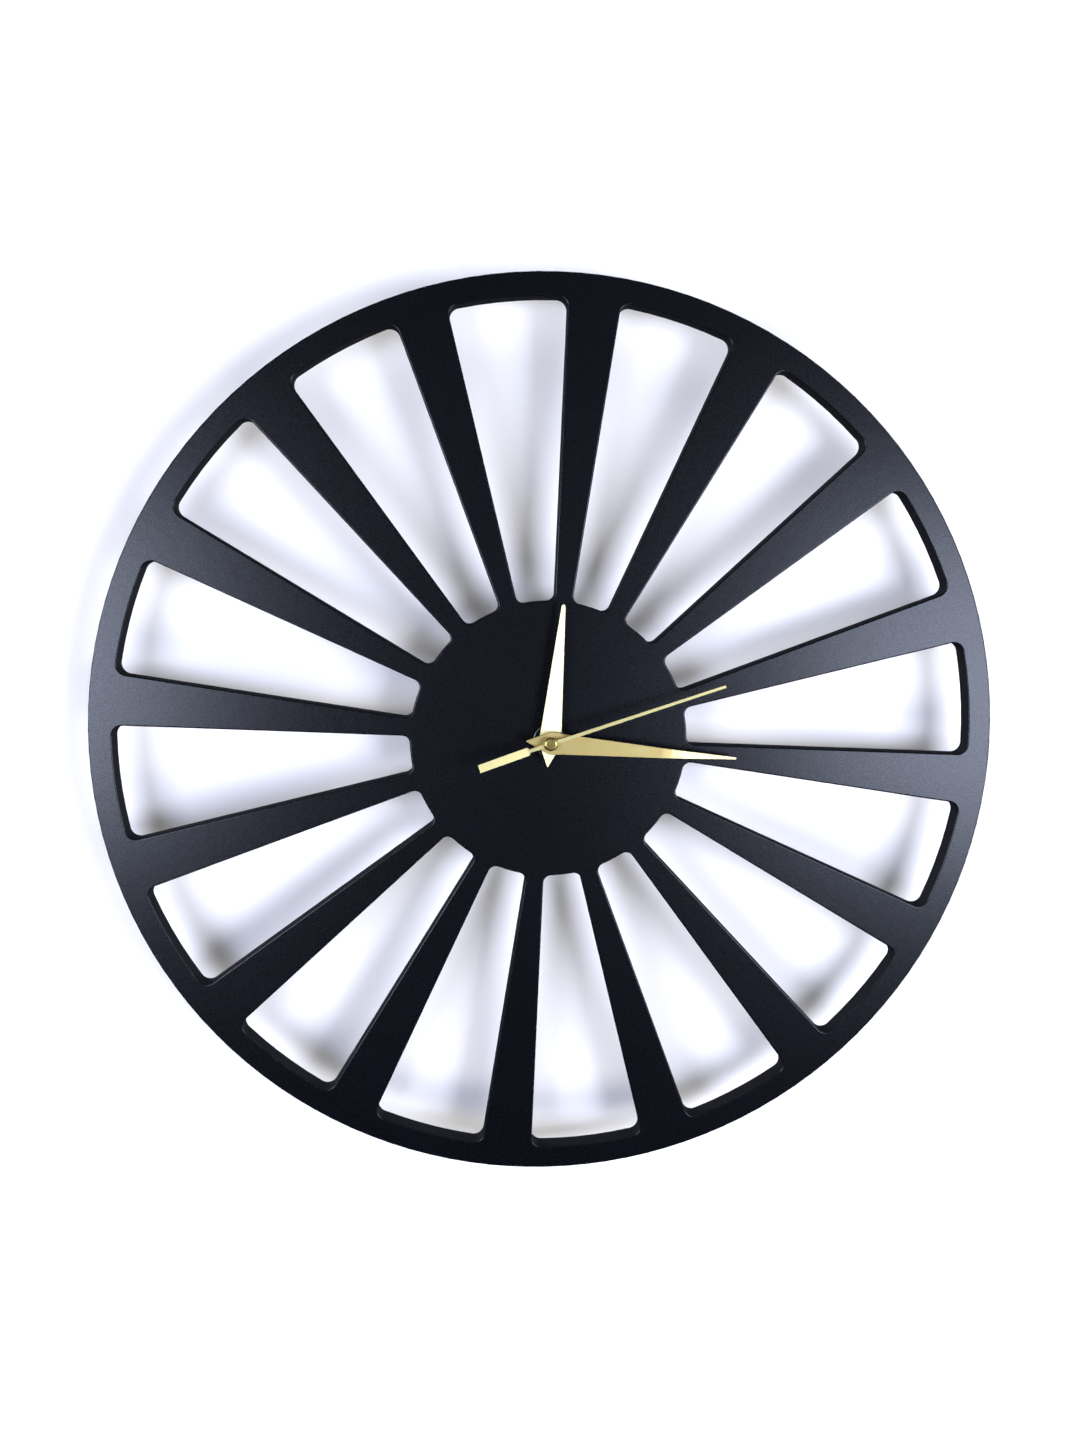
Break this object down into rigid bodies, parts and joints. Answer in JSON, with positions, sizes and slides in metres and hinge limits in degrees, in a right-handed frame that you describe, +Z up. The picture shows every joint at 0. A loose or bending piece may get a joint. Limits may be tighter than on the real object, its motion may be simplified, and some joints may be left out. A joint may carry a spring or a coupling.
{
  "type": "sunburst wall clock",
  "caption": "Round openwork wall clock: black face plate with spokes like a sunburst, gold hands and a battery quartz movement on the back that hangs on a nail.",
  "frame": {"origin": "on the hand axis, in the plane of the wall that the back of the movement rests on", "axes": "+Z up towards 12 o'clock, the face looks along -Y, +Y points into the wall, +X towards 3 o'clock"},
  "size_m": [0.355, 0.0383, 0.355],
  "materials": {
    "black_paint": "satin black paint on fibreboard",
    "black_zinc": "black plated steel",
    "rubber": "matte",
    "brass": "turned",
    "case_plastic": "fine spark texture",
    "natural_plastic": "moulded",
    "gold_sheet": "gold lacquered, satin",
    "gold_cap": "gold plated, polished",
    "steel": "plain sheet",
    "nickel": "nickel plated",
    "magnet": "sintered ferrite",
    "copper_wire": "enamelled wire",
    "board": "paper laminate",
    "resin": "poured resin",
    "battery_wrap": "plain printed sleeve"
  },
  "bodies": {
    "clock_frame": {"face_plate": "black_paint", "rubber_washer": "rubber", "flat_washer": "black_zinc", "hex_nut": "black_zinc", "threaded_bushing": "brass", "front_case": "case_plastic", "rear_cover": "case_plastic", "middle_plate": "natural_plastic", "battery": "battery_wrap", "positive_contact": "nickel", "negative_contact": "nickel", "circuit_board": "board", "controller_chip": "resin", "crystal_can": "nickel", "coil_bobbin": "natural_plastic", "coil_winding": "copper_wire", "coil_core": "steel", "stator_plate": "steel"},
    "seconds": {"second_hand": "gold_sheet", "second_hand_socket": "gold_cap", "second_arbor": "steel", "second_wheel": "natural_plastic"},
    "third": {"third_wheel": "natural_plastic"},
    "centre": {"centre_wheel": "natural_plastic"},
    "intermediate": {"intermediate_wheel": "natural_plastic"},
    "rotor": {"rotor_magnet": "magnet", "rotor_pinion": "natural_plastic"},
    "minutes": {"minute_hand": "gold_sheet", "cannon_pinion": "brass", "clutch_spring": "steel"},
    "motion": {"motion_wheel": "natural_plastic"},
    "hours": {"hour_hand": "gold_sheet", "hour_wheel": "natural_plastic"},
    "setting": {"setting_knob": "case_plastic", "setting_pinion": "natural_plastic"}
  },
  "joints": [
    {"name": "second_hand_turn", "type": "hinge", "parent": "clock_frame", "child": "seconds", "pos_m": [0, 0, 0], "axis": [0, 1, 0], "continuous": true},
    {"name": "third_wheel_turn", "type": "hinge", "parent": "clock_frame", "child": "third", "pos_m": [0.00736, 0, 0.00425], "axis": [0, 1, 0], "continuous": true},
    {"name": "centre_wheel_turn", "type": "hinge", "parent": "clock_frame", "child": "centre", "pos_m": [0, 0, 0], "axis": [0, 1, 0], "continuous": true},
    {"name": "intermediate_wheel_turn", "type": "hinge", "parent": "clock_frame", "child": "intermediate", "pos_m": [-0.00758, 0, 0.00438], "axis": [0, 1, 0], "continuous": true},
    {"name": "rotor_turn", "type": "hinge", "parent": "clock_frame", "child": "rotor", "pos_m": [-0.01088, 0, 0.01009], "axis": [0, 1, 0], "continuous": true},
    {"name": "minute_hand_turn", "type": "hinge", "parent": "clock_frame", "child": "minutes", "pos_m": [0, 0, 0], "axis": [0, 1, 0], "continuous": true},
    {"name": "motion_wheel_turn", "type": "hinge", "parent": "clock_frame", "child": "motion", "pos_m": [0.00761, 0, -0.00355], "axis": [0, 1, 0], "continuous": true},
    {"name": "hour_hand_turn", "type": "hinge", "parent": "clock_frame", "child": "hours", "pos_m": [0, 0, 0], "axis": [0, 1, 0], "continuous": true},
    {"name": "setting_knob_turn", "type": "hinge", "parent": "clock_frame", "child": "setting", "pos_m": [0.01551, 0, -0.00068], "axis": [0, 1, 0], "continuous": true}
  ],
  "couplings": [
    {"joint": "third_wheel_turn", "follows": "second_hand_turn", "ratio": -0.13333},
    {"joint": "centre_wheel_turn", "follows": "second_hand_turn", "ratio": 0.016667},
    {"joint": "intermediate_wheel_turn", "follows": "second_hand_turn", "ratio": -6},
    {"joint": "rotor_turn", "follows": "second_hand_turn", "ratio": 30},
    {"joint": "motion_wheel_turn", "follows": "minute_hand_turn", "ratio": -0.33333},
    {"joint": "hour_hand_turn", "follows": "minute_hand_turn", "ratio": 0.083333},
    {"joint": "setting_knob_turn", "follows": "minute_hand_turn", "ratio": 1}
  ]
}
